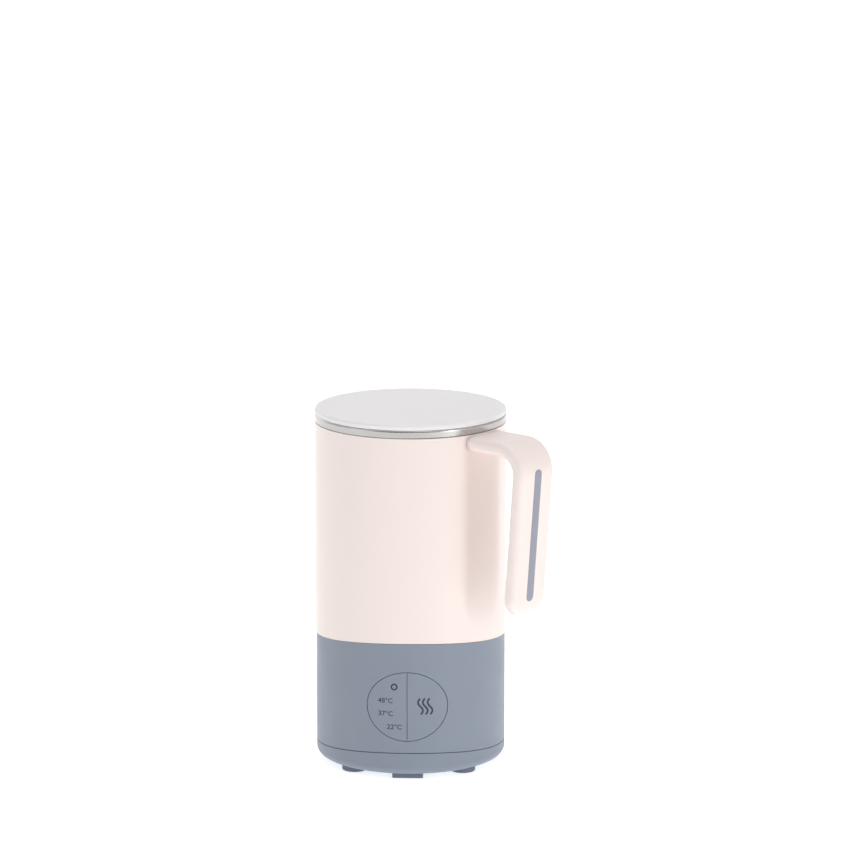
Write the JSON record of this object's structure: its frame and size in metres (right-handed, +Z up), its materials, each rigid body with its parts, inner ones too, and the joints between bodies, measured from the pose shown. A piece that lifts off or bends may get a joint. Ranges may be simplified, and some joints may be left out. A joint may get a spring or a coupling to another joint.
{
  "type": "baby food maker",
  "caption": "Baby food maker: round heating base with an oval button panel, steel-lined jug with a side handle, and a lid with a magnetic stirrer on a rod.",
  "frame": {"origin": "on the jug's axis, in the plane of the feet", "axes": "+Z up along the jug's axis, -Y out of the control panel, +X to the right seen from the front"},
  "size_m": [0.1369, 0.1247, 0.207],
  "materials": {
    "base_plastic": "satin",
    "foot_rubber": "matte",
    "black_rubber": "gloss",
    "steel": "brushed",
    "mirror_steel": "polished",
    "zinc_steel": "zinc plated",
    "dark_plastic": "satin",
    "gold": "gold plated",
    "heater_metal": "cast",
    "copper": "enamelled winding",
    "fuse_ceramic": "glazed",
    "magnet": "nickel plated",
    "circuit_board": "solder mask",
    "led": "diffuse",
    "cream_plastic": "satin gloss",
    "inlay_plastic": "satin",
    "lid_plastic": "frosted translucent",
    "lid_silicone": "translucent silicone",
    "socket_plastic": "satin",
    "stirrer_plastic": "satin",
    "bush_plastic": "acetal"
  },
  "bodies": {
    "base": {"base_shell": "base_plastic", "bottom_cover": "base_plastic", "rubber_feet": "foot_rubber", "front_pad": "foot_rubber", "housing_screws": "zinc_steel", "cord_gland": "foot_rubber", "heater_dish": "steel", "dish_centre": "mirror_steel", "dish_gasket": "black_rubber", "heating_element": "heater_metal", "heater_clamp": "zinc_steel", "clamp_screws": "zinc_steel", "dish_sensor": "heater_metal", "thermal_fuse": "fuse_ceramic", "contact_housing": "base_plastic", "contact_block": "dark_plastic", "contact_barrels": "gold", "contact_spring_left": "zinc_steel", "contact_spring_right": "zinc_steel", "motor_can": "zinc_steel", "motor_end_cap": "base_plastic", "motor_bearings": "steel", "motor_bracket": "zinc_steel", "motor_screws": "zinc_steel", "control_board": "circuit_board", "control_chips": "dark_plastic", "tact_switches": "dark_plastic", "indicator_leds": "led", "power_board": "circuit_board", "power_components": "dark_plastic"},
    "rotor": {"motor_shaft": "steel", "motor_core": "copper", "magnet_carrier": "dark_plastic", "drive_magnets": "magnet"},
    "button_left": {"button_left": "base_plastic"},
    "button_right": {"button_right": "base_plastic"},
    "contact_pin_left": {"contact_pin_left": "gold"},
    "contact_pin_right": {"contact_pin_right": "gold"},
    "jug": {"jug_shell": "cream_plastic", "inner_vessel": "steel", "jug_base_ring": "cream_plastic", "jug_ring_screws": "zinc_steel", "jug_contact_pads": "gold", "vessel_sensor": "heater_metal", "handle": "cream_plastic", "handle_inlay": "inlay_plastic", "handle_screws": "zinc_steel"},
    "lid": {"lid_cover": "lid_plastic", "lid_seal": "lid_silicone", "rod_socket": "socket_plastic", "stirrer_rod": "steel", "rod_clip": "steel"},
    "stirrer": {"stirrer_bush": "bush_plastic", "stirrer_hub": "stirrer_plastic", "stirrer_paddle": "stirrer_plastic", "stirrer_magnets": "magnet"}
  },
  "joints": [
    {"name": "jug_lift", "type": "slide", "parent": "base", "child": "jug", "axis": [0, 0, 1], "range_m": [0, 0.0425]},
    {"name": "lid_lift", "type": "slide", "parent": "jug", "child": "lid", "axis": [0, 0, 1], "range_m": [0, 0.174]},
    {"name": "stirrer_spin", "type": "hinge", "parent": "lid", "child": "stirrer", "pos_m": [0, 0, 0.08], "axis": [0, 0, 1], "continuous": true},
    {"name": "motor_spin", "type": "hinge", "parent": "base", "child": "rotor", "pos_m": [0, 0, 0.05], "axis": [0, 0, 1], "continuous": true},
    {"name": "button_left_press", "type": "slide", "parent": "base", "child": "button_left", "axis": [0, 1, 0], "range_m": [0, 0.001], "stiffness_N_per_m": 400},
    {"name": "button_right_press", "type": "slide", "parent": "base", "child": "button_right", "axis": [0, 1, 0], "range_m": [0, 0.001], "stiffness_N_per_m": 400},
    {"name": "contact_left_press", "type": "slide", "parent": "base", "child": "contact_pin_left", "axis": [0, 0, -1], "range_m": [0, 0.0012], "stiffness_N_per_m": 400, "deforming": ["contact_spring_left"]},
    {"name": "contact_right_press", "type": "slide", "parent": "base", "child": "contact_pin_right", "axis": [0, 0, -1], "range_m": [0, 0.0012], "stiffness_N_per_m": 400, "deforming": ["contact_spring_right"]}
  ],
  "couplings": [
    {"joint": "stirrer_spin", "follows": "motor_spin", "ratio": 1}
  ]
}
